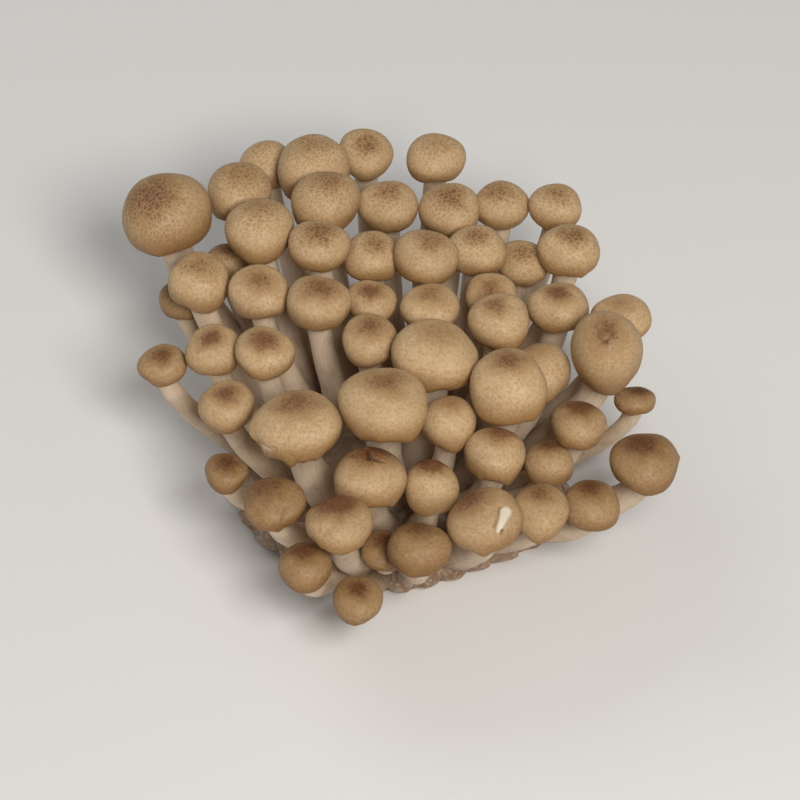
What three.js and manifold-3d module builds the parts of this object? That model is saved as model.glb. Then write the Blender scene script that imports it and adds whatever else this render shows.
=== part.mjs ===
// A cluster of brown beech mushrooms, as cut from the bottle it grew in: 58 mushrooms on one fused foot.
// Millimetres, +Z up. The origin is the middle of the flat cut under the foot, and -Y faces the viewer.
import * as THREE from "three";
import { mergeVertices } from "three/addons/utils/BufferGeometryUtils.js";
import Module from "manifold-3d";

const wasm = await Module();
wasm.setup();

// The foot: the dense root mass that all the stems grow from, cut off flat underneath.
const FOOT_RADIUS = 41;
const FOOT_TOP = 14;
const FOOT_SIDES = 24;
// How far the foot strays from round, as a share of its radius, for three and five lobes,
// and how far round, in radians, those lobes are turned.
const FOOT_THREE_LOBES = 0.04;
const FOOT_FIVE_LOBES = 0.03;
const FOOT_THREE_TURN = 1;
const FOOT_FIVE_TURN = 2;
const FOOT_PROFILE = [
  [0, 0],
  [0.93, 0],
  [1.02, 0.3],
  [0.94, 0.6],
  [0.62, 0.9],
  [0, 1],
];
// How deep roots reach: their height above the cut.
const ROOT_HEIGHT = 4;

// The stems. A root stands at this share of its cap's distance from the middle.
const ROOT_SPREAD = 0.55;
// How far a stem leans out at its root and under its cap, in degrees for each millimetre
// that its cap stands from the middle.
const ROOT_LEAN = 0.62;
const NECK_LEAN = 0.08;
// How long each end of a stem runs straight, as a share of its length.
const STEM_EASE = 0.35;
// A stem's radius where it meets its cap: a fixed part and a share of the cap's width.
const STEM_RADIUS_LEAST = 0.45;
const STEM_RADIUS_SHARE = 0.18;
const STEM_SIDES = 6;
// How thick a stem is along its length, from root to cap: [share of length, share of radius].
const STEM_PROFILE = [[0, 0.8], [0.16, 1.4], [0.45, 1.08], [0.76, 0.93], [1, 1]];
// The gap left between a stem's top and the cap that sits on it.
const SEAT_GAP = 0.3;

// The caps. Their outline from the middle of the underside, round the rim and up to the crown:
// [share of radius, share of height, gill depth as a share of height].
const CAP_PROFILE = [
  [0, 0.12, 0],
  [0.41, 0.12, 0],
  [0.6, 0.02, 0.16],
  [0.75, 0, 0],
  [1, 0.42, 0],
  [0.85, 0.77, 0],
  [0.47, 0.95, 0],
  [0, 1, 0],
];
// The ring of the profile where the gills are deepest. Only there do the gills' valleys count:
// on every other ring a valley's corner falls on that of the gill before it.
const GILL_RING = 2;
const GILLS = 15;
// How far the rim strays from a circle, as a share of the radius, for two and three lobes,
// and how far it waves up and down, as a share of the height.
const TWO_LOBES = 0.035;
const THREE_LOBES = 0.03;
const RIM_WAVE = 0.06;
// How many degrees a cap may tip either way from level.
const CAP_TIP = 6;

// One line for each mushroom: x and y of its cap's middle, the height of its crown above the cut,
// its cap's width, and the cap's height as a share of that width. Two more numbers tip a cap
// further, in degrees to the right and in degrees away from the viewer.
const MUSHROOMS = [
  // Along the back.
  [-8.7, 67, 52.8, 14.2, 0.5],
  [-34, 66.5, 50.5, 13.5, 0.66, -14, 6],
  [9, 62, 56.5, 14.8, 0.56],
  [-22, 58.8, 58.6, 18.4, 0.62],
  [25.5, 50.5, 51, 14, 0.56],
  [-40.4, 50, 57.8, 16.2, 0.64],
  [39, 48, 53, 13, 0.58],
  [-58.5, 40, 62.4, 22, 0.66, -12, 0],
  // Behind the middle.
  [-3, 46.5, 55, 15, 0.56],
  [12.5, 45, 55, 15.5, 0.54],
  [-18.5, 42.4, 62, 17.3, 0.64],
  [-34.7, 32.8, 61.2, 17.7, 0.59],
  [30.5, 30.5, 50, 13, 0.56],
  [42, 29, 57, 15, 0.58],
  [19, 29.5, 56, 14.5, 0.54],
  [-7, 27.5, 56, 14.5, 0.56],
  [-54.5, 26.5, 41, 11.5, 0.6],
  [-43, 35, 45.5, 10.5, 0.6],
  [-20, 25.5, 61.4, 15, 0.55],
  [6.5, 23, 60.5, 15.5, 0.56],
  [-49.5, 21, 54.5, 15.5, 0.62],
  // Across the middle.
  [22, 16, 53, 12.5, 0.54],
  [-34.5, 15, 56, 15, 0.56],
  [-7, 13, 53.5, 12.5, 0.55],
  [38.9, 10.5, 55.2, 14.7, 0.58],
  [-20, 9, 58.5, 15.5, 0.56],
  [54.2, 9, 52, 14.8, 0.44, 0, 8],
  [7.5, 8.5, 56.5, 14.5, 0.56],
  [24.2, 2.5, 59, 15.5, 0.59],
  [-45.5, -0.5, 51, 14, 0.56],
  [-58, -1, 45.5, 12, 0.52],
  [-7.5, -2, 56, 14, 0.55],
  [-33, -5.5, 55.5, 14.5, 0.56],
  [50, -7, 62.5, 17.9, 0.95, 0, -6],
  [33.6, -6.5, 50.7, 16.3, 0.62],
  [57.5, -8, 39.4, 9.9, 0.48, 0, 14],
  [8.5, -9.5, 60.6, 20.5, 0.54],
  [-42, -17.5, 49, 14, 0.55],
  // In front of the middle.
  [26, -20, 62.2, 19, 0.74, 0, 4],
  [43.1, -23, 48.3, 14, 0.54, 0, 11],
  [11.8, -25, 52.2, 13.8, 0.7, 0, 6],
  [-3.9, -27, 62, 21.2, 0.55, 0, 9],
  [-24.6, -30, 57.2, 21.3, 0.48, 0, 8],
  [35.8, -30, 42.3, 12, 0.66, 0, 6],
  [-42, -31, 39, 11, 0.54],
  [23, -33.5, 49.8, 15, 0.6, 0, 12],
  [58.6, -33.5, 47, 17, 0.54],
  [46.1, -40, 38, 14, 0.54],
  // Along the front.
  [-7.1, -41, 50.2, 17.8, 0.52, 0, 9],
  [7.5, -41, 47, 13.5, 0.74, 0, 4],
  [33.5, -46, 42.6, 14.5, 0.55],
  [-30, -47, 46, 15.5, 0.44, 0, 6],
  [-4, -51.5, 33, 11, 0.5],
  [20, -52, 47.1, 17.9, 0.56, -8, 6],
  [-14.1, -57, 50.3, 16.3, 0.48, 0, 6],
  [4.5, -57.5, 42.7, 15, 0.58, 0, 8],
  [-22.5, -61.5, 40, 13, 0.6],
  [-10, -66.5, 33, 12.5, 0.54],
];

const UP = new THREE.Vector3(0, 0, 1);
// Corners closer than this are one corner.
const WELD = 1e-4;
// Uneven factors that scatter the draws for each mushroom.
const SCATTER_MUSHROOM = 12.9898;
const SCATTER_DRAW = 78.233;
const SCATTER_SINE = 43758.5453;

const capSkin = new THREE.MeshStandardMaterial({ color: 0xb08d5f, roughness: 0.62, metalness: 0 });
const stemFlesh = new THREE.MeshStandardMaterial({ color: 0xd9cbb3, roughness: 0.7, metalness: 0 });

// A number from 0 to 1 that is always the same for the same mushroom and draw.
function drawn(index, draw) {
  const spread = Math.sin(SCATTER_MUSHROOM * index + SCATTER_DRAW * draw) * SCATTER_SINE;
  return spread - Math.floor(spread);
}

// A geometry with only its corners and faces: equal corners made one, and faces left flat by that dropped.
function welded(geometry) {
  geometry.deleteAttribute("normal");
  geometry.deleteAttribute("uv");
  const merged = mergeVertices(geometry, WELD);
  const faces = [];
  for (let i = 0; i < merged.index.count; i += 3) {
    const [a, b, c] = merged.index.array.slice(i, i + 3);
    if (a !== b && b !== c && c !== a) faces.push(a, b, c);
  }
  return merged.setIndex(faces);
}

// A solid of revolution about +Z from [radius, height] pairs that start and end on the axis,
// with each point then moved by a function of the point, its side and its place in the profile.
function turned(profile, sides, move) {
  const outline = profile.map(([radius, height]) => new THREE.Vector2(radius, height));
  const lathe = new THREE.LatheGeometry(outline, sides).rotateX(Math.PI / 2);
  const points = lathe.getAttribute("position");
  const point = new THREE.Vector3();
  for (let i = 0; i < points.count; i++) {
    const side = Math.floor(i / outline.length) % sides;
    move(point.fromBufferAttribute(points, i), side, i % outline.length);
    points.setXYZ(i, point.x, point.y, point.z);
  }
  return welded(lathe);
}

function solidOf(geometry) {
  return new wasm.Manifold(
    new wasm.Mesh({
      numProp: 3,
      vertProperties: geometry.getAttribute("position").array,
      triVerts: new Uint32Array(geometry.index.array),
    }),
  );
}

function geometryOf(solid) {
  const mesh = solid.getMesh();
  return new THREE.BufferGeometry()
    .setAttribute("position", new THREE.BufferAttribute(mesh.vertProperties, 3))
    .setIndex(new THREE.BufferAttribute(mesh.triVerts, 1));
}

// The direction that leans out from the middle towards a point, by so many degrees a millimetre.
function leaning({ x, y }, rate) {
  const lean = THREE.MathUtils.degToRad(rate * Math.hypot(x, y));
  const out = new THREE.Vector3(x, y, 0).normalize();
  return out.multiplyScalar(Math.sin(lean)).addScaledVector(UP, Math.cos(lean));
}

// Where a mushroom's parts stand, worked out from its line in the list.
function placed([x, y, crown, width, rise, tipRight = 0, tipBack = 0], index) {
  const height = rise * width;
  const right = THREE.MathUtils.degToRad(tipRight + CAP_TIP * (2 * drawn(index, 1) - 1));
  const back = THREE.MathUtils.degToRad(tipBack + CAP_TIP * (2 * drawn(index, 2) - 1));
  const axis = new THREE.Vector3(Math.sin(right), Math.sin(back), 1).normalize();
  // The middle of the rim's plane: x, y and crown are those of the cap's middle and top.
  const rim = new THREE.Vector3(x, y, crown - height / 2).addScaledVector(axis, -height / 2);
  return { index, width, height, axis, rim };
}

// A cap: domed, a little lobed and wavy at the rim, and gilled underneath.
function makeCap({ index, width, height, axis, rim }) {
  const radius = width / 2;
  const twist = 2 * Math.PI * drawn(index, 3);
  const turn = 2 * Math.PI * drawn(index, 4);
  const profile = CAP_PROFILE.map(([out, up]) => [out * radius, up * height]);
  const cap = turned(profile, 2 * GILLS, (point, side, ring) => {
    const [out, up, gill] = CAP_PROFILE[ring];
    const valley = side % 2;
    if (valley && ring !== GILL_RING) point.applyAxisAngle(UP, -Math.PI / GILLS);
    const angle = Math.atan2(point.y, point.x);
    const lobes = TWO_LOBES * Math.cos(2 * angle + twist) + THREE_LOBES * Math.cos(3 * angle + turn);
    const wave = RIM_WAVE * out * out * (1 - up) * Math.cos(3 * angle + twist + turn);
    point.x *= 1 + lobes;
    point.y *= 1 + lobes;
    point.z += height * (wave + valley * gill);
  });
  const mesh = new THREE.Mesh(cap, capSkin);
  mesh.name = "cap_" + String(index).padStart(2, "0");
  mesh.position.copy(rim);
  mesh.quaternion.setFromUnitVectors(UP, axis);
  return mesh;
}

// A stem: a tapering round bar bent along a curve from its root in the foot to its cap's underside,
// where its end lies flat against the cap's seat.
function makeStem({ width, height, axis, rim }) {
  const seat = CAP_PROFILE[0][1] * height - SEAT_GAP;
  const top = rim.clone().addScaledVector(axis, seat);
  const root = new THREE.Vector3(rim.x * ROOT_SPREAD, rim.y * ROOT_SPREAD, ROOT_HEIGHT);
  const reach = STEM_EASE * top.distanceTo(root);
  const curve = new THREE.CubicBezierCurve3(
    root,
    root.clone().addScaledVector(leaning(rim, ROOT_LEAN), reach),
    top.clone().addScaledVector(leaning(rim, NECK_LEAN), -reach),
    top,
  );
  const radius = STEM_RADIUS_LEAST + STEM_RADIUS_SHARE * width;
  const profile = [[0, 0], ...STEM_PROFILE.map(([along, share]) => [radius * share, along]), [0, 1]];
  const turning = new THREE.Quaternion();
  return turned(profile, STEM_SIDES, (point) => {
    const along = point.z;
    turning.setFromUnitVectors(UP, along < 1 ? curve.getTangent(along) : axis);
    point.setZ(0).applyQuaternion(turning).add(curve.getPoint(along));
  });
}

// The foot: a low lobed mound with a flat underside.
function makeFoot() {
  const profile = FOOT_PROFILE.map(([out, up]) => [out * FOOT_RADIUS, up * FOOT_TOP]);
  return turned(profile, FOOT_SIDES, (point) => {
    const angle = Math.atan2(point.y, point.x);
    const three = FOOT_THREE_LOBES * Math.cos(3 * angle + FOOT_THREE_TURN);
    const five = FOOT_FIVE_LOBES * Math.cos(5 * angle + FOOT_FIVE_TURN);
    const lobes = three + five;
    point.x *= 1 + lobes;
    point.y *= 1 + lobes;
  });
}

// All the stems and the foot, grown together as one body. Pockets shut in between them are filled,
// by keeping only the largest of the surfaces.
function makeStemCluster(mushrooms) {
  const grown = mushrooms.reduce((body, m) => body.add(solidOf(makeStem(m))), solidOf(makeFoot()));
  const [outside] = grown.decompose().sort((a, b) => b.volume() - a.volume());
  const mesh = new THREE.Mesh(geometryOf(outside), stemFlesh);
  mesh.name = "stems_and_foot";
  return mesh;
}

const mushrooms = MUSHROOMS.map((line, i) => placed(line, i + 1));
const cluster = new THREE.Group();
cluster.add(makeStemCluster(mushrooms), ...mushrooms.map(makeCap));

export default cluster;
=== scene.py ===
"""A cluster of brown beech mushrooms, finished around its solid model.

Each cap and the body of stems and foot is worked out again as a fine surface, from where its
solid stands. Lengths are in metres. The mushrooms stand on z = 0 and -Y faces the viewer.
"""

import math

import bpy
import numpy as np
from bpy.props import FloatProperty, FloatVectorProperty, IntProperty, PointerProperty
from bpy.types import Operator, Panel, PropertyGroup
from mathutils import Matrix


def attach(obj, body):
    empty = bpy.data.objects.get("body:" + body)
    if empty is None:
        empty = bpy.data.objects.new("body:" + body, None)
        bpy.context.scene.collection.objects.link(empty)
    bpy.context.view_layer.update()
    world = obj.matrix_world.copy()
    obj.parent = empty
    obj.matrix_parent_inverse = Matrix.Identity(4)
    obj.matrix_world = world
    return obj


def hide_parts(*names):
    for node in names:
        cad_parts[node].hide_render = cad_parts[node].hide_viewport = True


bl_info = {
    "name": "Beech Mushroom Cluster",
    "version": (1, 0, 0),
    "blender": (4, 5, 0),
    "location": "3D View > Sidebar > Mushrooms",
    "description": "Grows a cluster of brown beech mushrooms from its solid model",
    "category": "Add Mesh",
}

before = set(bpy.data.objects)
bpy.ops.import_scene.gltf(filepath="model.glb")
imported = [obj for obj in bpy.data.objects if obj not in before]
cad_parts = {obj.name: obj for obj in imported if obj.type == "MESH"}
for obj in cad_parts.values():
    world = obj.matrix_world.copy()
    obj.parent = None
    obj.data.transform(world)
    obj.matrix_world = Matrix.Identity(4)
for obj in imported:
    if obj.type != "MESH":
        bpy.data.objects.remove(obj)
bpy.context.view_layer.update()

MM = 0.001
UP = np.array([0.0, 0.0, 1.0])
STEMS = "stems_and_foot"
CAPS = sorted(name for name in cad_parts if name.startswith("cap_"))

# What the random draws start from.
CAP_SEED = 1000
STEM_SEED = 77

# Where a cap's solid is flat underneath, as a share of its height, and where it is widest.
SEAT_UP = 0.12
WIDEST_UP = 0.42
# Corners of a solid closer than this are one corner.
CORNER_GRAIN = 1e-6
# How far above or below the widest place, as a share of the height, its ring of corners may lie.
RING_BAND = 0.1

# Rows of corners from a cap's crown to where it is widest, without marks and with them, then
# round its rolled rim, and in along its gills.
DOME_ROWS = 24
MARKED_DOME_ROWS = 56
ROLL_ROWS = 15
GILL_ROWS = 8
# How steep the first row under the crown is, in degrees, and how square the dome is: 1 is an ellipse.
CROWN_ROW = 86.5
SQUARENESS = 0.9
# Where the gills start at the rim and end at the neck, as shares of the radius. Then how high
# they start and how far they arch up, as shares of the height.
GILLS_OUT = 0.71
GILLS_IN = 0.37
GILLS_UP = 0.05
GILLS_ARCH = 0.07
# The Bezier curve of the rolled rim, as shares of the radius and of the height.
ROLL = [(1.0, WIDEST_UP), (0.98, 0.06), (0.80, -0.1), (GILLS_OUT, GILLS_UP)]
# Columns of corners for each gill.
GILL_COLUMNS = 4

# Caps whose crown is below the first height are painted darker and browner, and fully so below the second:
# mostly painted shade low in the cluster, with some browning.
SHADED_AND_BROWNED_BELOW = 57 * MM
SHADED_AND_BROWNED_FULLY = 38 * MM
# Caps further back than the first place are more netted, and fully so past the second.
NETTED_BEHIND = 8 * MM
NETTED_FULLY = 34 * MM

# How thick a stem is at shares of its length, as shares of its thickness under the cap.
TAPER_AT = [0.0, 0.16, 0.45, 0.76, 1.0]
TAPER = [0.8, 1.4, 1.08, 0.93, 1.0]

# The foot from the middle of its top to the middle of its underside, as shares of its height
# and of its radius, and how many corners go round it.
FOOT_UP = [1.0, 0.985, 0.94, 0.87, 0.77, 0.64, 0.5, 0.36, 0.22, 0.1, 0.03, 0.0, 0.0, 0.0]
FOOT_OUT = [0.06, 0.2, 0.4, 0.6, 0.78, 0.91, 0.985, 1.015, 1.01, 0.97, 0.945, 0.925, 0.7, 0.3]
FOOT_COLUMNS = 160
# How far the foot strays from round, as a share of its radius, for three and five lobes,
# and how far round, in radians, those lobes are turned.
FOOT_THREE_LOBES = 0.04
FOOT_FIVE_LOBES = 0.03
FOOT_THREE_TURN = 1
FOOT_FIVE_TURN = 2

# A joined body with fewer faces than this has lost some of its stems.
JOINED_FACES_LEAST = 10000
# Corners that are compared with the stems' middles at a time.
BLOCK = 4000

# What the skin is multiplied by towards the rim, as painted shade with a browner tint, and on low caps, as
# painted shade with some browning.
# Then the colours of the painted shade in folds, cracks and beside nicks, partly darker flesh, of bare
# flesh and of the fuzz on the foot.
RIM_BROWN_AND_SHADE_TINT = (0.82, 0.70, 0.54, 1.0)
BROWNING_AND_SHADE_TINT = (0.60, 0.53, 0.45, 1.0)
CREASE_SHADE_AND_STAIN = (0.075, 0.036, 0.018, 1.0)
BARE_FLESH = (0.68, 0.60, 0.48, 1.0)
FUZZ = (0.72, 0.67, 0.58, 1.0)

# The studio's own light, then each lamp's name, place, side, watts and tint.
STUDIO_TINT = (1.0, 0.98, 0.95, 1.0)
STUDIO_STRENGTH = 0.2
LAMPS = [
    ("key", (0.26, -0.80, 0.95), 0.40, 12.6, (1.0, 0.97, 0.93)),
    ("fill", (-0.7, 0.6, 0.9), 0.8, 3.0, (0.97, 0.98, 1.0)),
]

# Streaks that single caps bear, as dents, nicks and dark marks. Each runs between two places on the
# dome, given as degrees round from the right and a share of the radius. Then come how far below
# the dome it lies, as a share of the height, its width and depth as shares of the radius,
# and how bare of skin it is, or, below zero, how dark it is painted: mostly painted shade in folds, cracks
# and creases and beside nicks, partly darker flesh.
MARKS = {
    "cap_02": [((168, 0.85), (125, 0.8), 0.0, 0.16, 0.05, 1.0)],
    "cap_34": [
        ((-98, 0.41), (-127, 0.4), 0.0, 0.06, 0.03, -0.7),
        ((-97, 0.41), (-41, 0.2), 0.0, 0.06, 0.03, -0.7),
    ],
    "cap_40": [((-14, 0.98), (-14, 0.98), 0.04, 0.12, -0.1, 0.0)],
    "cap_43": [
        ((-172, 0.98), (-158, 0.98), 0.1, 0.17, -0.1, 0.0),
        ((-140, 0.98), (-128, 0.97), 0.22, 0.09, 0.05, 1.0),
        ((-150, 0.98), (-120, 0.97), 0.12, 0.05, 0.05, -0.4),
    ],
    "cap_47": [((2, 0.98), (2, 0.98), 0.05, 0.13, -0.05, 0.0)],
    "cap_49": [
        ((140, 0.1), (105, 0.55), 0.0, 0.1, 0.14, -0.9),
        ((150, 0.08), (-13, 0.3), 0.0, 0.11, 0.16, -0.9),
        ((162, 0.56), (168, 0.5), 0.0, 0.09, 0.03, -0.5),
        ((60, 0.4), (30, 0.4), 0.0, 0.16, -0.05, 0.0),
    ],
    "cap_52": [((-60, 0.8), (-74, 0.98), 0.0, 0.16, 0.05, -0.15)],
    "cap_54": [
        ((-24, 0.74), (-62, 0.91), 0.0, 0.18, 0.06, 1.0),
        ((-20, 0.58), (-66, 0.82), 0.0, 0.08, 0.08, -0.4),
        ((-56, 0.93), (-62, 0.99), 0.0, 0.06, 0.08, -0.8),
    ],
    "cap_55": [((-112, 0.8), (-122, 0.95), 0.0, 0.15, 0.04, -0.15)],
}
# How much narrower a mark is at its second end, as a share of its width.
MARK_NARROWING = 0.6
# Teeth that hang from single caps' rims: which way they lie, how far they hang down as a share of
# the height, and their width in degrees.
TEETH = {
    "cap_40": [(-130, 0.06, 40), (-45, 0.05, 30)],
    "cap_42": [(-128, 0.1, 40), (-50, 0.08, 34), (-95, 0.03, 16)],
    "cap_43": [(-104, 0.17, 24), (-146, 0.15, 34), (-62, 0.09, 26), (-82, 0.05, 18)],
    "cap_46": [(-128, 0.08, 30), (-62, 0.1, 32)],
    "cap_49": [(-92, 0.06, 36), (-40, 0.09, 26)],
    "cap_52": [(-82, 0.12, 24), (-118, 0.07, 26)],
    "cap_55": [(-84, 0.06, 34), (-128, 0.06, 24), (-40, 0.06, 26)],
}
# The looks of the caps that are seen best: which way the dark patch lies from the crown, in
# degrees, how far and how wide it is as shares of the radius, how dark it is, and how much the
# whole cap is painted darker and browner, mostly as painted shade. On the front caps the patch lies
# towards the far side, where besides the dark crown it paints the shade cast by the caps above them.
LOOKS = {
    "cap_02": (60, 0.1, 0.8, 0.3, 0.0),
    "cap_03": (70, 0.1, 0.8, 0.45, 0.05),
    "cap_04": (90, 0.1, 0.9, 0.5, 0.0),
    "cap_06": (60, 0.1, 1.0, 0.6, 0.15),
    "cap_08": (-130, 0.18, 0.85, 1.0, 0.4),
    "cap_11": (60, 0.1, 0.85, 0.65, 0.2),
    "cap_12": (90, 0.15, 0.85, 0.6, 0.0),
    "cap_27": (90, 0.1, 0.8, 0.45, 0.0),
    "cap_34": (-116, 0.15, 0.8, 0.72, 0.3),
    "cap_35": (90, 0.2, 0.8, 0.4, 0.0),
    "cap_37": (90, 0.1, 0.8, 0.45, 0.0),
    "cap_39": (60, 0.1, 0.74, 0.8, 0.0),
    "cap_40": (85, 0.26, 0.9, 1.1, 0.5),
    "cap_41": (95, 0.15, 0.75, 0.65, 0.0),
    "cap_42": (75, 0.1, 0.74, 0.74, 0.12),
    "cap_43": (80, 0.1, 0.8, 0.75, 0.1),
    "cap_44": (90, 0.3, 0.8, 0.9, 0.5),
    "cap_46": (80, 0.25, 0.8, 0.85, 0.15),
    "cap_47": (110, 0.15, 0.9, 0.95, 0.9),
    "cap_48": (95, 0.25, 0.8, 0.9, 0.8),
    "cap_49": (105, 0.34, 1.05, 0.95, 0.15),
    "cap_50": (95, 0.34, 0.85, 1.15, 0.1),
    "cap_51": (95, 0.25, 0.8, 0.75, 0.4),
    "cap_52": (140, 0.35, 1.05, 0.7, 0.95),
    "cap_53": (95, 0.2, 0.85, 0.8, 1.25),
    "cap_54": (135, 0.42, 0.85, 0.85, 0.45),
    "cap_55": (120, 0.38, 1.0, 1.15, 0.4),
    "cap_56": (95, 0.2, 0.85, 0.75, 1.25),
    "cap_57": (95, 0.2, 0.9, 0.95, 1.5),
}


class CapSettings(PropertyGroup):
    """Sizes and colours of the caps."""

    gills: IntProperty(name="Gills", description="Gills under each cap", default=36, min=8)
    gill_depth: FloatProperty(
        name="Gill depth",
        description="Depth of the gills, as a share of the cap's height",
        default=0.17,
        subtype="FACTOR",
    )
    straightness: FloatProperty(
        name="Straightness",
        description="How far the rim runs in straight sides with corners, as a share of the radius",
        default=0.045,
        subtype="FACTOR",
    )
    waviness: FloatProperty(
        name="Waviness",
        description="How far the rim strays up and down, as a share of the cap's height",
        default=0.065,
        subtype="FACTOR",
    )
    teeth: FloatProperty(
        name="Teeth",
        description="How far the rim's teeth hang down, as a share of the cap's height",
        default=0.07,
        subtype="FACTOR",
    )
    unevenness: FloatProperty(
        name="Unevenness",
        description="How far the top strays from a smooth dome, as a share of the radius",
        default=0.022,
        subtype="FACTOR",
    )
    skin: FloatVectorProperty(
        name="Skin",
        description="Colour of the skin",
        default=(0.455, 0.292, 0.142),
        size=3,
        subtype="COLOR",
    )
    pale_skin: FloatVectorProperty(
        name="Pale skin",
        description="Colour of the pale net over the skin",
        default=(0.60, 0.425, 0.245),
        size=3,
        subtype="COLOR",
    )
    dark_skin: FloatVectorProperty(
        name="Dark skin",
        description="Colour of the spots and of the patch round the crown",
        default=(0.180, 0.072, 0.028),
        size=3,
        subtype="COLOR",
    )
    gill_flesh: FloatVectorProperty(
        name="Gill flesh",
        description="Colour of the gills",
        default=(0.62, 0.49, 0.34),
        size=3,
        subtype="COLOR",
    )


class StemSettings(PropertyGroup):
    """Sizes and colours of the stems. The sizes are those of the solid model."""

    root_spread: FloatProperty(
        name="Root spread",
        description="A root's distance from the middle, as a share of its cap's",
        default=0.55,
        subtype="FACTOR",
    )
    root_height: FloatProperty(
        name="Root height",
        description="Height of the roots' ends above the cut",
        default=4 * MM,
        unit="LENGTH",
    )
    root_lean: FloatProperty(
        name="Root lean",
        description="Degrees that a root leans out for each millimetre to its cap",
        default=0.62,
    )
    neck_lean: FloatProperty(
        name="Neck lean",
        description="Degrees that a stem leans under its cap for each millimetre to the cap",
        default=0.08,
    )
    ease: FloatProperty(
        name="Ease", description="Straight share of a stem at each end", default=0.35, subtype="FACTOR"
    )
    radius_least: FloatProperty(
        name="Least radius", description="Fixed part of a stem's radius", default=0.45 * MM, unit="LENGTH"
    )
    radius_share: FloatProperty(
        name="Radius share",
        description="Rest of a stem's radius, as a share of its cap's width",
        default=0.18,
        subtype="FACTOR",
    )
    sides: IntProperty(name="Sides", description="Corners round a stem", default=28, min=6)
    rings: IntProperty(name="Rings", description="Rings along a stem", default=30, min=4)
    flesh: FloatVectorProperty(
        name="Flesh",
        description="Colour of a stem",
        default=(0.68, 0.54, 0.395),
        size=3,
        subtype="COLOR",
    )
    # Also the colour of the painted shade low on the stems and on the foot, partly a browner root.
    shade: FloatVectorProperty(
        name="Shade",
        description="Colour of a stem's streaks and of its root",
        default=(0.25, 0.145, 0.08),
        size=3,
        subtype="COLOR",
    )


class FootSettings(PropertyGroup):
    """Sizes of the foot, which are those of the solid model."""

    radius: FloatProperty(name="Radius", description="Radius of the foot", default=41 * MM, unit="LENGTH")
    height: FloatProperty(name="Height", description="Height of the foot", default=14 * MM, unit="LENGTH")
    lumps: IntProperty(name="Lumps", description="Fused roots round the foot's side", default=34, min=3)


class StageSettings(PropertyGroup):
    """The floor, the light and the camera."""

    floor_size: FloatProperty(
        name="Floor size", description="Side of the square floor", default=6.0, unit="LENGTH"
    )
    floor_colour: FloatVectorProperty(
        name="Floor colour",
        description="Colour of the floor",
        default=(0.78, 0.775, 0.76),
        size=3,
        subtype="COLOR",
    )
    lens: FloatProperty(name="Lens", description="Focal length in millimetres", default=225.0)
    camera_height: FloatProperty(
        name="Camera height", description="Height of the camera", default=0.9196, unit="LENGTH"
    )
    camera_distance: FloatProperty(
        name="Camera distance",
        description="How far the camera stands in front of the cluster",
        default=0.8541,
        unit="LENGTH",
    )
    camera_elevation: FloatProperty(
        name="Camera elevation",
        description="How far the camera looks down",
        default=math.radians(46.22),
        subtype="ANGLE",
        unit="ROTATION",
    )


def unit(vectors):
    """Vectors scaled to length one."""
    return vectors / np.linalg.norm(vectors, axis=-1, keepdims=True)


def smooth_step(low, high, values):
    """0 below low, 1 above high, and between them 3t squared minus 2t cubed."""
    t = np.clip((values - low) / (high - low), 0.0, 1.0)
    return t * t * (3.0 - 2.0 * t)


def bezier(controls, t):
    """Points of a cubic Bezier curve and their directions, at the shares t of its length."""
    a, b, c, d = (np.asarray(point, float) for point in controls)
    t = np.asarray(t, float)[:, None]
    s = 1.0 - t
    points = s**3 * a + 3 * s * s * t * b + 3 * s * t * t * c + t**3 * d
    slopes = s * s * (b - a) + 2 * s * t * (c - b) + t * t * (d - c)
    return points, unit(slopes)


def ripples(draw, angles, waves, falloff):
    """A sum of cosines of the angles times each whole number of waves, each with a drawn phase.

    The strength of each is one over the number of waves to the power falloff.
    """
    total = np.zeros_like(angles)
    for count in waves:
        strength = draw.uniform(0.5, 1.0) / count**falloff
        total += strength * np.cos(count * angles + draw.uniform(0.0, 2.0 * math.pi))
    return total


def kinked(draw, angles, corners):
    """A closed line over the angles that runs straight between drawn heights from -1 to 1."""
    even = np.linspace(0.0, 2.0 * math.pi, corners, endpoint=False)
    places = np.sort(even + draw.uniform(0.0, 4.0 / corners, corners))
    return np.interp(angles, places, draw.uniform(-1.0, 1.0, corners), period=2.0 * math.pi)


def toothed(angles, teeth):
    """Pointed teeth: straight flanks that fall from each one's height to 0 over half its width."""
    total = np.zeros_like(angles)
    for towards, height, width in teeth:
        apart = np.abs((np.degrees(angles) - towards + 180.0) % 360.0 - 180.0)
        total = np.maximum(total, height * (1.0 - 2.0 * apart / width))
    return total


def bumps(draw, points, wavelength, amount):
    """A gentle unevenness: a sum of eight sine waves through space in drawn directions."""
    total = np.zeros(points.shape[:-1])
    for _ in range(8):
        direction = unit(draw.normal(size=3)) * 2.0 * math.pi / (wavelength * draw.uniform(0.7, 1.6))
        total += np.sin(points @ direction + draw.uniform(0.0, 2.0 * math.pi))
    return amount * total / 3.0


def grid_faces(rows, columns):
    """Quads of a grid that closes round its columns.

    They face outwards where the rows run down the axis and the columns turn right-handed about it.
    """
    row = np.arange(rows - 1)[:, None] * columns
    here = np.arange(columns)[None, :]
    beside = (here + 1) % columns
    quads = np.stack([row + here, row + columns + here, row + columns + beside, row + beside], axis=-1)
    return quads.reshape(-1, 4)


def fan_faces(pole, first, columns, towards_pole):
    """Triangles from a pole to a ring of corners that starts at the index first."""
    here = first + np.arange(columns)
    beside = first + (np.arange(columns) + 1) % columns
    poles = np.full(columns, pole)
    order = [poles, here, beside] if towards_pole else [poles, beside, here]
    return np.stack(order, axis=-1)


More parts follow.
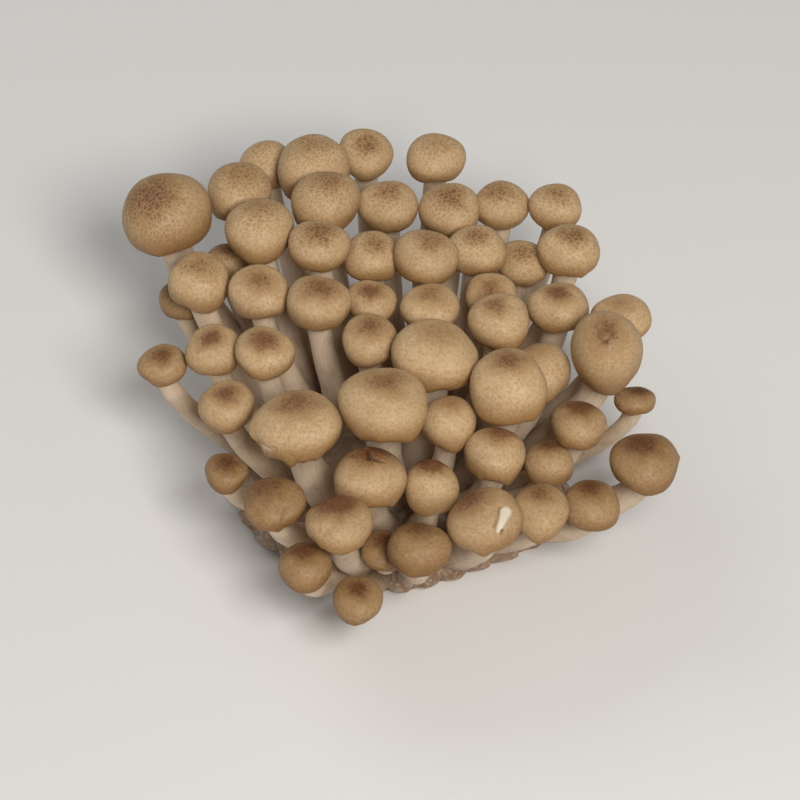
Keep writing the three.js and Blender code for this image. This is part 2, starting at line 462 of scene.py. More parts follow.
def closed_mesh(name, rings, start, end):
    """A closed mesh from rings of corners (rows, columns, 3) and the poles that shut its ends.

    Its first row lies round the start pole. Corners are in order: the rings, start, end.
    """
    rows, columns = rings.shape[:2]
    corners = np.concatenate([rings.reshape(-1, 3), [start], [end]])
    quads = grid_faces(rows, columns)
    start_fan = fan_faces(rows * columns, 0, columns, True)
    end_fan = fan_faces(rows * columns + 1, (rows - 1) * columns, columns, False)
    mesh = bpy.data.meshes.new(name)
    mesh.from_pydata(corners.tolist(), [], quads.tolist() + start_fan.tolist() + end_fan.tolist())
    mesh.polygons.foreach_set("use_smooth", np.ones(len(mesh.polygons), bool))
    return mesh


def corner_attribute(mesh, name, colours):
    """Stores three numbers for each corner of a mesh, as a colour with full alpha."""
    attribute = mesh.attributes.new(name, "FLOAT_COLOR", "POINT")
    values = np.ones((len(mesh.vertices), 4), np.float32)
    values[:, :3] = colours
    attribute.data.foreach_set("color", values.ravel())


def add_object(mesh):
    """Puts a mesh in the scene as an object of the same name."""
    piece = bpy.data.objects.new(mesh.name, mesh)
    bpy.context.scene.collection.objects.link(piece)
    return piece


def harmonics(angles):
    """One, and the cosines and sines of twice and three times the angles, as columns."""
    columns = [np.ones_like(angles)]
    for count in (2, 3):
        columns += [np.cos(count * angles), np.sin(count * angles)]
    return np.stack(columns, axis=-1)


def read_cap(node):
    """Where a cap stands and how it is lobed, read from its solid.

    The two corners where the most faces meet are the crown and the middle of the seat. The ring
    where the cap is widest gives its radius, and by least squares its lobes and its rim's wave.
    """
    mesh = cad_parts[node].data
    places = np.zeros(len(mesh.vertices) * 3, np.float32)
    mesh.vertices.foreach_get("co", places)
    used = np.zeros(len(mesh.loops), np.int32)
    mesh.loops.foreach_get("vertex_index", used)
    steps = np.round(places.reshape(-1, 3) / CORNER_GRAIN).astype(np.int64)
    corners, same = np.unique(steps, axis=0, return_inverse=True)
    corners = corners * CORNER_GRAIN
    meetings = np.bincount(same.ravel()[used])
    poles = corners[np.argsort(-meetings)[:2]]
    seat, crown = poles[np.argsort(poles[:, 2])]
    axis = unit(crown - seat)
    height = np.linalg.norm(crown - seat) / (1.0 - SEAT_UP)
    rim = seat - axis * SEAT_UP * height
    right = unit(np.array([1.0, 0.0, 0.0]) - axis * axis[0])
    basis = np.stack([right, np.cross(axis, right), axis])
    local = (corners - rim) @ basis.T
    ring = local[np.abs(local[:, 2] / height - WIDEST_UP) < RING_BAND]
    angles = np.arctan2(ring[:, 1], ring[:, 0])
    reach = np.hypot(ring[:, 0], ring[:, 1])
    terms = harmonics(angles)
    lobes = np.linalg.lstsq(terms, reach, rcond=None)[0]
    wave = np.linalg.lstsq(terms, ring[:, 2] / height - WIDEST_UP, rcond=None)[0]
    return {
        "node": node,
        "rim": rim,
        "seat": seat,
        "axis": axis,
        "basis": basis,
        "height": height,
        "radius": lobes[0],
        "lobes": lobes[1:] / lobes[0],
        "wave": wave[1:] / (1.0 - WIDEST_UP),
    }


def cap_profile(dome_rows):
    """The rows of a cap from the crown down, over the rim and in along the gills to the seat.

    Gives each row's share of the radius, share of the height, and share of the gill depth.
    The top is a quarter ellipse down to the widest ring, a little squarer than a true one.
    The rim is a Bezier curve that rolls in under it. The gills run in to the neck along a
    shallow arch, and are deepest nearer the rim.
    """
    dome = np.radians(np.linspace(CROWN_ROW, 0.0, dome_rows))
    dome_out = np.cos(dome) ** SQUARENESS
    dome_up = WIDEST_UP + (1.0 - WIDEST_UP) * np.sin(dome) ** SQUARENESS
    rolled, _ = bezier(ROLL, np.linspace(0.0, 1.0, ROLL_ROWS)[1:])
    gills = np.linspace(0.0, 1.0, GILL_ROWS)[1:]
    gill_out = GILLS_OUT + (GILLS_IN - GILLS_OUT) * gills
    gill_up = GILLS_UP + GILLS_ARCH * np.sin(math.pi / 2 * gills)
    out = np.concatenate([dome_out, rolled[:, 0], gill_out])
    up = np.concatenate([dome_up, rolled[:, 1], gill_up])
    depth = np.concatenate([np.zeros(len(dome) + len(rolled)), np.sin(math.pi * gills**0.6)])
    return out, up, depth


def make_cap(node, settings):
    """A fine cap on the place, tilt, size and lobes of its solid, and which of its faces are gill.

    Each row is a circle of the profile's radius, times the lobes and, low down, straight sides.
    It is lifted by the rim's wave and the gills' valleys, and lowered by the rim's teeth.
    """
    cap = read_cap(node)
    draw = np.random.default_rng(CAP_SEED + CAPS.index(node))
    columns = GILL_COLUMNS * settings.gills
    angles = np.arange(columns) * 2.0 * math.pi / columns
    out, up, depth = cap_profile(MARKED_DOME_ROWS if node in MARKS else DOME_ROWS)
    terms = harmonics(angles)[:, 1:]
    lobes = 1.0 + terms @ cap["lobes"] + 0.006 * ripples(draw, angles, range(4, 9), 0.3)
    wave = terms @ cap["wave"]
    sides = settings.straightness * kinked(draw, angles, draw.integers(6, 10))
    hang = settings.waviness * kinked(draw, angles, draw.integers(9, 15))
    drawn_teeth = [
        (draw.uniform(0.0, 360.0), settings.teeth * draw.uniform(0.4, 1.0), draw.uniform(24.0, 50.0))
        for _ in range(draw.integers(1, 4))
    ]
    hang += toothed(angles, TEETH.get(node, drawn_teeth))

    low = smooth_step(0.75, 0.05, up)
    under = smooth_step(0.45, 0.1, up) * smooth_step(0.5, 0.75, out)
    reach = cap["radius"] * out[:, None] * (lobes + low[:, None] * sides)
    rise = up[:, None] + (out * out * (1.0 - up))[:, None] * wave - under[:, None] * hang
    # One column of each gill is its edge and the others are the valley, so that gills stay thin.
    # Every other gill is short.
    number, place = np.divmod(np.arange(columns), GILL_COLUMNS)
    short = (number % 2 == 1) & (out < 0.55)[:, None]
    valley = np.where((place == 0) & ~short, 0.0, 1.0)
    rise = rise + settings.gill_depth * depth[:, None] * valley
    local = np.stack([reach * np.cos(angles), reach * np.sin(angles), cap["height"] * rise], axis=-1)
    uneven = settings.unevenness * cap["radius"] * draw.uniform(0.4, 1.6)
    lift = bumps(draw, local, 0.9 * cap["radius"], uneven)
    local[..., 2] += lift * (out * smooth_step(0.05, 0.2, up))[:, None]
    local, bare = marked(local, cap)

    rings = cap["rim"] + local @ cap["basis"]
    crown = cap["rim"] + cap["axis"] * cap["height"]
    mesh = closed_mesh(node + "_skin", rings, crown, cap["seat"])
    paint_cap(mesh, cap, draw, out, up, angles, bare)
    # Faces are in the order grid, crown, seat. The gills are the grid's last rows and the seat.
    grid_end = (len(out) - 1) * columns
    first_gill_row = int(np.argmax(depth > 0.0)) - 1
    is_gill = np.zeros(len(mesh.polygons), np.int32)
    is_gill[first_gill_row * columns : grid_end] = 1
    is_gill[grid_end + columns :] = 1
    return mesh, is_gill


def marked(local, cap):
    """Presses a cap's dents and nicks into it, and says how bare each corner is, or below zero how dark it
    is painted: mostly painted shade in folds, cracks and beside nicks, partly darker flesh.

    Each mark is a bell curve of the distance from the line between its two ends, and is
    narrower towards the second one. It draws the surface towards the middle of the cap.
    """
    bare = np.zeros(local.shape[:2])
    centre = np.array([0.0, 0.0, WIDEST_UP * cap["height"]])
    for start, end, drop, width, depth, flesh in MARKS.get(cap["node"], []):
        first = dome_place(cap, *start, drop)
        line = dome_place(cap, *end, drop) - first
        along = np.clip((local - first) @ line / max(line @ line, 1e-12), 0.0, 1.0)
        gap = np.linalg.norm(local - first - along[..., None] * line, axis=-1)
        bell = np.exp(-((gap / (width * cap["radius"] * (1.0 - MARK_NARROWING * along))) ** 2))
        local = local + (centre - local) * (depth * bell)[..., None]
        shown = flesh * smooth_step(0.3, 0.7, bell)
        bare = np.where(np.abs(shown) > np.abs(bare), shown, bare)
    return local, bare


def dome_place(cap, towards, out, drop):
    """A place on a cap's elliptical dome, or so far below it."""
    angle = math.radians(towards)
    up = WIDEST_UP + (1.0 - WIDEST_UP) * math.sqrt(1.0 - out * out) - drop
    across = out * cap["radius"]
    return np.array([across * math.cos(angle), across * math.sin(angle), up * cap["height"]])


def paint_cap(mesh, cap, draw, out, up, angles, bare):
    """Stores how dark, near the rim, bare of skin, browned and shaded, netted, and stained and shaded in
    creases each corner is.

    Near the rim the skin gets painted shade with a browner tint. Caps low in the cluster are painted
    darker and browner, mostly painted shade with some browning, and those at its back are more strongly
    netted. On the front caps the dark patch round the crown is shifted towards their far side, where it
    also paints the shade cast by the caps above them.
    """
    crown = cap["rim"][2] + cap["height"]
    # Low caps are painted darker: painted shade, with some browning.
    browning_and_shade = 0.85 * smooth_step(SHADED_AND_BROWNED_BELOW, SHADED_AND_BROWNED_FULLY, crown) + draw.uniform(-0.1, 0.2)
    netted = 0.85 * smooth_step(NETTED_BEHIND, NETTED_FULLY, cap["rim"][1]) + draw.uniform(0.0, 0.15)
    drawn_look = (
        draw.uniform(0.0, 360.0),
        draw.uniform(0.0, 0.2),
        draw.uniform(0.65, 0.9),
        draw.uniform(0.65, 1.0),
        browning_and_shade,
    )
    towards, shift, size, strength, browning_and_shade = LOOKS.get(cap["node"], drawn_look)
    x = out[:, None] * np.cos(angles) - shift * math.cos(math.radians(towards))
    y = out[:, None] * np.sin(angles) - shift * math.sin(math.radians(towards))
    ragged = 1.0 + 0.1 * ripples(draw, angles, range(2, 8), 0.6)
    apart = np.hypot(x, y) / (size * ragged)
    dark = strength * (1.0 - smooth_step(0.0, 1.25, apart))
    dark = np.where(up[:, None] < WIDEST_UP, 0.0, dark)
    # Painted shade, with a browner tint, towards the rim.
    edge = smooth_step(0.7, 0.0, up)[:, None] * np.ones_like(dark)
    values = np.stack([dark, edge, np.maximum(bare, 0.0)], axis=-1).reshape(-1, 3)
    poles = np.array([[dark[0].mean(), 0.0, 0.0], [0.0, 1.0, 0.0]])
    corner_attribute(mesh, "skin", np.concatenate([values, poles]))
    # Painted shade in folds, cracks and beside nicks, partly darker flesh.
    stain_and_shade = np.concatenate([np.maximum(-bare, 0.0).ravel(), [0.0, 0.0]])
    whole = np.ones_like(stain_and_shade)
    corner_attribute(mesh, "shade_net_and_stain", np.stack([browning_and_shade * whole, netted * whole, stain_and_shade], axis=-1))


def leaning(place, rate):
    """The direction that leans out from the middle towards a place, by rate degrees a millimetre."""
    away = np.array([place[0], place[1], 0.0])
    lean = math.radians(rate * np.linalg.norm(away) / MM)
    return unit(away) * math.sin(lean) + UP * math.cos(lean)


def stem_rings(cap, settings, draw):
    """A stem: circles whose size follows a smooth taper, carried along a Bezier curve.

    The curve runs from the root to the seat, and on into the cap.
    """
    rim = cap["rim"]
    top = rim + cap["axis"] * cap["height"] * 0.2
    root = np.array([rim[0] * settings.root_spread, rim[1] * settings.root_spread, settings.root_height])
    reach = settings.ease * np.linalg.norm(top - root)
    controls = [
        root,
        root + leaning(rim, settings.root_lean) * reach,
        top - leaning(rim, settings.neck_lean) * reach,
        top,
    ]
    along = np.linspace(0.0, 1.0, settings.rings)
    middles, directions = bezier(controls, along)
    radius = settings.radius_least + settings.radius_share * 2.0 * cap["radius"]
    taper = np.interp(along, TAPER_AT, TAPER)
    taper = np.convolve(np.pad(taper, 2, mode="edge"), np.full(5, 0.2), mode="valid")
    angles = np.arange(settings.sides) * 2.0 * math.pi / settings.sides
    shape = taper[:, None] * (1.0 + 0.035 * ripples(draw, angles, range(2, 5), 0.5)[None, :])
    swell = 0.04 * ripples(draw, 2.0 * math.pi * along, range(1, 5), 0.5)
    shape = radius * shape * (1.0 + swell)[:, None]
    across = unit(np.array([-rim[1], rim[0], 0.0]))
    side = unit(across - directions * (directions @ across)[:, None])
    front = np.cross(directions, side)
    turn = angles[None, :, None]
    circle = np.cos(turn) * side[:, None, :] + np.sin(turn) * front[:, None, :]
    rings = middles[:, None, :] + shape[..., None] * circle
    return rings, middles, side, front, along


def foot_rings(settings, draw):
    """The foot: a low mound, lobed and ribbed where roots have fused, with a flat underside.

    Each ring's radius is the profile's, times lobes, times ribs that fade out on the top.
    """
    up = np.array(FOOT_UP)
    out = np.array(FOOT_OUT)
    angles = np.arange(FOOT_COLUMNS) * 2.0 * math.pi / FOOT_COLUMNS
    lobes = 1.0 + FOOT_THREE_LOBES * np.cos(3 * angles + FOOT_THREE_TURN)
    lobes += FOOT_FIVE_LOBES * np.cos(5 * angles + FOOT_FIVE_TURN)
    strayed = 0.8 * ripples(draw, angles, range(1, 4), 0.5)
    ribs = np.abs(np.sin(0.5 * settings.lumps * angles + strayed))
    flank = smooth_step(0.6, 0.9, out) * smooth_step(0.0, 0.2, up + 0.05)
    shape = out[:, None] * lobes * (1.0 - 0.06 * flank[:, None] * (1.0 - ribs) ** 2)
    places = np.stack(
        [
            settings.radius * shape * np.cos(angles),
            settings.radius * shape * np.sin(angles),
            settings.height * up[:, None] * np.ones_like(angles),
        ],
        axis=-1,
    )
    rough = bumps(draw, places, 7 * MM, 0.35 * MM)
    places[..., :2] *= 1.0 + (rough * flank[:, None] / settings.radius)[..., None]
    return places


def join_solids(first, others):
    """Joins closed objects into the first one by a Boolean union, and removes the others."""
    group = bpy.data.collections.new("stems to join")
    bpy.context.scene.collection.children.link(group)
    for other in others:
        bpy.context.scene.collection.objects.unlink(other)
        group.objects.link(other)
    union = first.modifiers.new("join", "BOOLEAN")
    union.operation = "UNION"
    union.operand_type = "COLLECTION"
    union.collection = group
    union.solver = "MANIFOLD"
    graph = bpy.context.evaluated_depsgraph_get()
    joined = bpy.data.meshes.new_from_object(first.evaluated_get(graph), depsgraph=graph)
    first.modifiers.remove(union)
    first.data = joined
    for other in others:
        bpy.data.meshes.remove(other.data)
    bpy.data.collections.remove(group)


def paint_stems(mesh, paths):
    """Stores where each corner lies on its nearest stem: round it, along it, and how far down."""
    count = len(mesh.vertices)
    places = np.zeros(count * 3, np.float32)
    mesh.vertices.foreach_get("co", places)
    places = places.reshape(-1, 3).astype(float)
    middles, sides, fronts, alongs = (np.concatenate(values) for values in zip(*paths))
    stems = np.repeat(np.arange(len(paths)), [len(path[3]) for path in paths])
    nearest = np.zeros(count, np.int64)
    for block in np.array_split(np.arange(count), max(1, count // BLOCK)):
        gaps = ((places[block][:, None, :] - middles[None, :, :]) ** 2).sum(axis=-1)
        nearest[block] = gaps.argmin(axis=1)
    offset = places - middles[nearest]
    turn = np.arctan2((offset * fronts[nearest]).sum(axis=1), (offset * sides[nearest]).sum(axis=1))
    values = np.stack([np.cos(turn), np.sin(turn), alongs[nearest]], axis=-1)
    corner_attribute(mesh, "stem", values)
    shift = mesh.attributes.new("stem_number", "FLOAT", "POINT")
    shift.data.foreach_set("value", stems[nearest].astype(np.float32))


class Nodes:
    """A short way to build a material's nodes."""

    def __init__(self, name):
        self.material = bpy.data.materials.new(name)
        self.material.use_nodes = True
        self.tree = self.material.node_tree
        self.tree.nodes.clear()
        self.shader = self.add("ShaderNodeBsdfPrincipled")
        output = self.add("ShaderNodeOutputMaterial")
        self.tree.links.new(self.shader.outputs[0], output.inputs["Surface"])

    def add(self, kind, inputs=None, **options):
        """A new node with its options set, and its inputs set or linked."""
        node = self.tree.nodes.new(kind)
        for option, value in options.items():
            setattr(node, option, value)
        for socket, value in (inputs or {}).items():
            self.feed(node.inputs[socket], value)
        return node

    def feed(self, socket, value):
        """Links an output to a socket, or sets the socket's own value."""
        if isinstance(value, bpy.types.NodeSocket):
            self.tree.links.new(value, socket)
        else:
            socket.default_value = value

    def math(self, operation, *values, clamp=False):
        """The output of a sum on one to three values."""
        node = self.add("ShaderNodeMath", operation=operation, use_clamp=clamp)
        for socket, value in zip(node.inputs, values):
            self.feed(socket, value)
        return node.outputs[0]

    def mix(self, share, first, second, blend="MIX"):
        """The output of a mix of two colours."""
        node = self.add("ShaderNodeMix", data_type="RGBA", blend_type=blend)
        self.feed(node.inputs["Factor"], share)
        self.feed(node.inputs["A"], first)
        self.feed(node.inputs["B"], second)
        return node.outputs["Result"]

    def ramp(self, value, low, high, start=0.0, end=1.0):
        """The output of a smooth climb from start to end as the value goes from low to high."""
        inputs = {"Value": value, "From Min": low, "From Max": high, "To Min": start, "To Max": end}
        return self.add("ShaderNodeMapRange", inputs, interpolation_type="SMOOTHSTEP").outputs["Result"]

    def noise(self, vector, scale, detail=2.0, roughness=0.5):
        """The output of a noise texture with scale cells a metre, about 0.5 on average."""
        inputs = {"Vector": vector, "Scale": scale, "Detail": detail, "Roughness": roughness}
        return self.add("ShaderNodeTexNoise", inputs).outputs["Fac"]

    def bump(self, height, distance, strength=1.0):
        """Feeds a height to the shader's normal."""
        node = self.add("ShaderNodeBump", {"Height": height, "Distance": distance, "Strength": strength})
        self.tree.links.new(node.outputs["Normal"], self.shader.inputs["Normal"])

    def finish(self, **values):
        """Sets or links the shader's inputs, with underscores for the spaces in their names."""
        for name, value in values.items():
            self.feed(self.shader.inputs[name.replace("_", " ")], value)
        return self.material


def colour(values):
    """A colour property as a socket takes it."""
    return (*values, 1.0)


def cap_skin(settings):
    """Velvety tan skin: brown spots in a pale net, merging into a dark patch round the crown.

    How deep the colour is at a place is a sum of the patch, the spots, the grain, the specks and the
    painted shade towards the rim. Two mixes turn it into pale, plain and dark skin. Over it go the painted
    shade with a browner tint towards the rim, the painted shade and browning of low caps, the painted
    shade in folds and cracks with some darker flesh, and the bare flesh.
    """
    n = Nodes("cap_skin")
    place = n.add("ShaderNodeTexCoord").outputs["Object"]
    skin = n.add("ShaderNodeAttribute", attribute_name="skin").outputs["Color"]
    dark, edge, bare = n.add("ShaderNodeSeparateColor", {"Color": skin}).outputs
    shade_net_and_stain = n.add("ShaderNodeAttribute", attribute_name="shade_net_and_stain").outputs["Color"]
    browning_and_shade, netted, stain_and_shade = n.add("ShaderNodeSeparateColor", {"Color": shade_net_and_stain}).outputs

    # A Voronoi pattern on places that noise has shifted a little, for the net and the specks.
    warp = n.add("ShaderNodeTexNoise", {"Vector": place, "Scale": 800.0, "Detail": 2.0}).outputs["Color"]
    shifted = n.add("ShaderNodeVectorMath", {0: warp, 1: (0.5, 0.5, 0.5)}, operation="SUBTRACT").outputs[0]
    scaled = n.add("ShaderNodeVectorMath", {0: shifted, "Scale": 0.0014}, operation="SCALE").outputs[0]
    warped = n.add("ShaderNodeVectorMath", {0: place, 1: scaled}, operation="ADD").outputs[0]
    cells = n.add("ShaderNodeTexVoronoi", {"Vector": warped, "Scale": 850.0}, feature="DISTANCE_TO_EDGE")
    specks = n.add("ShaderNodeTexVoronoi", {"Vector": warped, "Scale": 1250.0}, feature="SMOOTH_F1")
    specked = n.ramp(specks.outputs["Distance"], 0.0, 0.6, 1.0, 0.0)
    grain = n.noise(place, 1500.0, 3.0, 0.6)
    blotch = n.noise(place, 200.0, 3.0, 0.55)

    # The spots inside the net, and how far the net stands out.
    spots = n.ramp(cells.outputs["Distance"], 0.0, n.ramp(netted, 0.0, 1.0, 0.36, 0.2))
    net = n.math("MULTIPLY", n.ramp(netted, 0.0, 1.0, 0.10, 0.42), n.ramp(dark, 0.0, 0.3, 0.45, 1.0))
    # The patch round the crown, with a ragged edge: the dark crown, and on the front caps, shifted towards
    # their far side, also painted shade cast by the caps above them.
    ragged = n.math("ADD", dark, n.math("MULTIPLY", n.math("SUBTRACT", blotch, 0.5), 0.45))
    patch = n.math("MULTIPLY", n.ramp(ragged, -0.05, 1.0), n.ramp(dark, 0.0, 0.3))
    patch = n.math("MULTIPLY", patch, n.ramp(netted, 0.0, 1.0, 0.96, 0.75))
    depth = n.math("ADD", patch, n.math("MULTIPLY", n.math("SUBTRACT", spots, 0.72), net))
    depth = n.math("ADD", depth, n.math("MULTIPLY", n.math("SUBTRACT", grain, 0.5), 0.55))
    speckling = n.math("MULTIPLY", n.ramp(netted, 0.0, 1.0, 0.26, 0.1), n.ramp(blotch, 0.3, 0.7, 0.6, 1.1))
    depth = n.math("ADD", depth, n.math("MULTIPLY", n.math("SUBTRACT", specked, 0.5), speckling))
    # Painted shade towards the rim.
    depth = n.math("ADD", depth, n.math("MULTIPLY", edge, 0.25))

    base = n.mix(n.ramp(depth, -0.28, 0.16), colour(settings.pale_skin), colour(settings.skin))
    base = n.mix(n.ramp(depth, 0.05, 1.0), base, colour(settings.dark_skin))
    # Painted shade, with a browner tint, towards the rim.
    base = n.mix(edge, base, RIM_BROWN_AND_SHADE_TINT, "MULTIPLY")
    # Painted shade, with some browning, on low caps.
    base = n.mix(browning_and_shade, base, BROWNING_AND_SHADE_TINT, "MULTIPLY")
    # Painted shade in folds, cracks and beside nicks, partly darker flesh.
    base = n.mix(stain_and_shade, base, CREASE_SHADE_AND_STAIN)
    base = n.mix(bare, base, BARE_FLESH)
    n.bump(n.math("ADD", n.math("MULTIPLY", grain, 0.6), n.math("MULTIPLY", spots, 0.2)), 0.00010, 0.6)
    return n.finish(
        Base_Color=base,
        Roughness=n.ramp(grain, 0.3, 0.7, 0.46, 0.60),
        Specular_IOR_Level=0.28,
        Subsurface_Weight=0.06,
        Subsurface_Radius=(0.0025, 0.0014, 0.0007),
        Subsurface_Scale=1.0,
    )


def gill_flesh(settings):
    """Dull cream flesh of the gills, a little darker in flecks."""
    n = Nodes("gill_flesh")
    place = n.add("ShaderNodeTexCoord").outputs["Object"]
    fleck = n.noise(place, 900.0, 3.0, 0.6)
    deep = tuple(0.78 * value for value in settings.gill_flesh)
    base = n.mix(n.ramp(fleck, 0.35, 0.7), colour(settings.gill_flesh), colour(deep))
    n.bump(fleck, 0.00008, 0.5)
    return n.finish(
        Base_Color=base,
        Roughness=0.7,
        Specular_IOR_Level=0.3,
        Subsurface_Weight=0.2,
        Subsurface_Radius=(0.0030, 0.0020, 0.0012),
        Subsurface_Scale=1.0,
    )


def stem_flesh(settings):
    """Dull off-white flesh with lengthwise fibres, browner in patches, and darker and browner towards the
    foot, mostly painted shade from the caps above with some browner root.

    The cut underneath shows pale flesh, seamed where the roots meet.
    """
    n = Nodes("stem_flesh")
    place = n.add("ShaderNodeTexCoord").outputs["Object"]
    stem = n.add("ShaderNodeAttribute", attribute_name="stem").outputs["Vector"]
    number = n.add("ShaderNodeAttribute", attribute_name="stem_number").outputs["Fac"]
    split = n.add("ShaderNodeSeparateXYZ", {"Vector": stem})
    along = split.outputs["Z"]

    # Fibres: noise round a stem and, drawn out, along it, with a place of its own for each stem.
    lifted = n.math("ADD", n.math("MULTIPLY", along, 0.9), n.math("MULTIPLY", number, 7.3))
    fibre_place = n.add(
        "ShaderNodeCombineXYZ", {"X": split.outputs["X"], "Y": split.outputs["Y"], "Z": lifted}
    ).outputs[0]
    fibre = n.noise(fibre_place, 9.0, 4.0, 0.65)
    blotch = n.noise(place, 140.0, 3.0, 0.6)
    height = n.add("ShaderNodeSeparateXYZ", {"Vector": place}).outputs["Z"]
    # Towards the foot: painted shade where the caps shade the stems, partly a browner root.
    low = n.ramp(height, 4 * MM, 26 * MM, 1.0, 0.0)

    # Stains along the fibres and in blotches, painted shade low down that is partly a browner root, then
    # fuzz on the foot and the pale cut.
    streak = n.ramp(fibre, 0.40, 0.75, 0.0, 0.26)
    stain_and_shade = n.math("ADD", streak, n.math("MULTIPLY", n.ramp(blotch, 0.42, 0.75), 0.3))
    stain_and_shade = n.math("ADD", stain_and_shade, n.math("MULTIPLY", low, 0.8), clamp=True)
    base = n.mix(stain_and_shade, colour(settings.flesh), colour(settings.shade))
    crumb = n.noise(place, 900.0, 4.0, 0.7)
    fuzz = n.math("MULTIPLY", low, n.ramp(crumb, 0.5, 0.62))
    base = n.mix(n.math("MULTIPLY", fuzz, 0.4), base, FUZZ)
    cut = n.ramp(height, 0.2 * MM, 1.2 * MM, 0.8, 0.0)
    roots = n.add("ShaderNodeTexVoronoi", {"Vector": place, "Scale": 115.0}, feature="DISTANCE_TO_EDGE")
    seams = n.ramp(roots.outputs["Distance"], 0.0, 0.16, 0.7, 0.0)
    base = n.mix(cut, base, n.mix(seams, colour(settings.flesh), colour(settings.shade)))
    ridges = n.math("MULTIPLY", fibre, 0.35)
    rough = n.math("MULTIPLY", n.math("MULTIPLY", crumb, low), 1.8)
    n.bump(n.math("ADD", ridges, rough), 0.00022, 0.8)
    return n.finish(
        Base_Color=base,
        Roughness=n.ramp(fibre, 0.3, 0.7, 0.48, 0.62),
        Specular_IOR_Level=0.4,
        Subsurface_Weight=0.22,
        Subsurface_Radius=(0.0040, 0.0028, 0.0018),
        Subsurface_Scale=1.0,
    )


class MUSHROOMS_OT_caps(Operator):
    """Grow every cap, from its crown to its gills"""

    bl_idname = "mushrooms.caps"
    bl_label = "Grow the caps"

    def execute(self, context):
        settings = context.scene.mushroom_caps
        skin = cap_skin(settings)
        gills = gill_flesh(settings)
        for node in CAPS:
            mesh, is_gill = make_cap(node, settings)
            mesh.materials.append(skin)
            mesh.materials.append(gills)
            mesh.polygons.foreach_set("material_index", is_gill)
            piece = add_object(mesh)
            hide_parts(node)
            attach(piece, "root")
        return {"FINISHED"}


class MUSHROOMS_OT_stems(Operator):
    """Grow the stems and the foot as one body"""

    bl_idname = "mushrooms.stems"
    bl_label = "Grow the stems and foot"

    def execute(self, context):
        settings = context.scene.mushroom_stems
        draw = np.random.default_rng(STEM_SEED)
        foot = foot_rings(context.scene.mushroom_foot, draw)
        top = [0.0, 0.0, context.scene.mushroom_foot.height]
        piece = add_object(closed_mesh("stems_and_foot_flesh", foot, top, [0.0, 0.0, 0.0]))
        stems = []
        paths = []
        for node in CAPS:
            rings, middles, side, front, along = stem_rings(read_cap(node), settings, draw)
            stems.append(add_object(closed_mesh("stem", rings[::-1], middles[-1], middles[0])))
            paths.append((middles, side, front, along))
        join_solids(piece, stems)
        if len(piece.data.polygons) < JOINED_FACES_LEAST:
            raise RuntimeError("the stems could not be joined")
        paint_stems(piece.data, paths)
        piece.data.polygons.foreach_set("use_smooth", np.ones(len(piece.data.polygons), bool))
        piece.data.materials.clear()
        piece.data.materials.append(stem_flesh(settings))
        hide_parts(STEMS)
        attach(piece, "root")
        return {"FINISHED"}


def add_area_light(name, place, size, watts, tint):
    """A square soft light that faces the middle of the cluster."""
    light = bpy.data.lights.new(name, "AREA")
    light.shape = "SQUARE"
    light.size = size
    light.energy = watts
    light.color = tint
    lamp = bpy.data.objects.new(name, light)
    lamp.location = place
    towards = -np.asarray(place)
    turn = math.atan2(towards[0], -towards[1])
    tilt = math.atan2(math.hypot(towards[0], towards[1]), -towards[2])
    lamp.rotation_euler = (tilt, 0.0, math.pi + turn)
    bpy.context.scene.collection.objects.link(lamp)


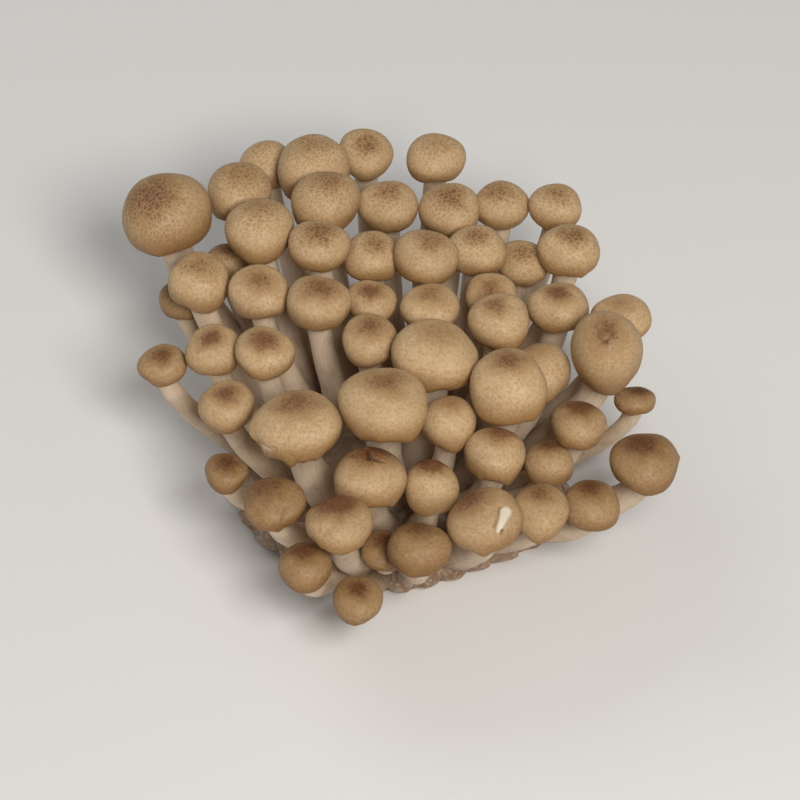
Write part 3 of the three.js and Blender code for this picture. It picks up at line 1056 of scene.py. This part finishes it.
class MUSHROOMS_OT_stage(Operator):
    """Lay the floor and set the light and the camera"""

    bl_idname = "mushrooms.stage"
    bl_label = "Set the stage"

    def execute(self, context):
        settings = context.scene.mushroom_stage
        half = settings.floor_size / 2
        mesh = bpy.data.meshes.new("floor")
        corners = [(-half, -half, 0), (half, -half, 0), (half, half, 0), (-half, half, 0)]
        mesh.from_pydata(corners, [], [(0, 1, 2, 3)])
        floor = add_object(mesh)
        n = Nodes("floor")
        floor.data.materials.append(n.finish(Base_Color=colour(settings.floor_colour), Roughness=0.8))

        world = bpy.data.worlds.new("studio")
        world.use_nodes = True
        background = world.node_tree.nodes["Background"]
        background.inputs["Color"].default_value = STUDIO_TINT
        background.inputs["Strength"].default_value = STUDIO_STRENGTH
        context.scene.world = world
        for lamp in LAMPS:
            add_area_light(*lamp)

        camera = bpy.data.cameras.new("camera")
        camera.lens = settings.lens
        camera.sensor_width = 36.0
        camera.clip_end = 20.0
        eye = bpy.data.objects.new("camera", camera)
        eye.location = (0.0, -settings.camera_distance, settings.camera_height)
        eye.rotation_euler = (math.pi / 2 - settings.camera_elevation, 0.0, 0.0)
        context.scene.collection.objects.link(eye)
        context.scene.camera = eye
        context.scene.view_settings.view_transform = "Standard"
        return {"FINISHED"}


class MUSHROOMS_PT_cluster(Panel):
    """Lists what the cluster is made of"""

    bl_label = "Mushroom cluster"
    bl_idname = "MUSHROOMS_PT_cluster"
    bl_space_type = "VIEW_3D"
    bl_region_type = "UI"
    bl_category = "Mushrooms"

    def draw(self, context):
        steps = {
            MUSHROOMS_OT_stage: ["mushroom_stage"],
            MUSHROOMS_OT_stems: ["mushroom_stems", "mushroom_foot"],
            MUSHROOMS_OT_caps: ["mushroom_caps"],
        }
        for step, groups in steps.items():
            box = self.layout.box()
            box.operator(step.bl_idname)
            for group in groups:
                for name in SETTINGS[group].__annotations__:
                    box.prop(getattr(context.scene, group), name)


SETTINGS = {
    "mushroom_caps": CapSettings,
    "mushroom_stems": StemSettings,
    "mushroom_foot": FootSettings,
    "mushroom_stage": StageSettings,
}
CLASSES = (MUSHROOMS_OT_stage, MUSHROOMS_OT_stems, MUSHROOMS_OT_caps, MUSHROOMS_PT_cluster)


def register():
    """Makes the settings, operators and panel known."""
    for name, group in SETTINGS.items():
        bpy.utils.register_class(group)
        setattr(bpy.types.Scene, name, PointerProperty(type=group))
    for cls in CLASSES:
        bpy.utils.register_class(cls)


def unregister():
    """Takes them back."""
    for cls in reversed(CLASSES):
        bpy.utils.unregister_class(cls)
    for name, group in SETTINGS.items():
        delattr(bpy.types.Scene, name)
        bpy.utils.unregister_class(group)


def main():
    """Builds the whole scene."""
    register()
    bpy.ops.mushrooms.stage()
    bpy.ops.mushrooms.stems()
    bpy.ops.mushrooms.caps()


if __name__ == "__main__":
    main()
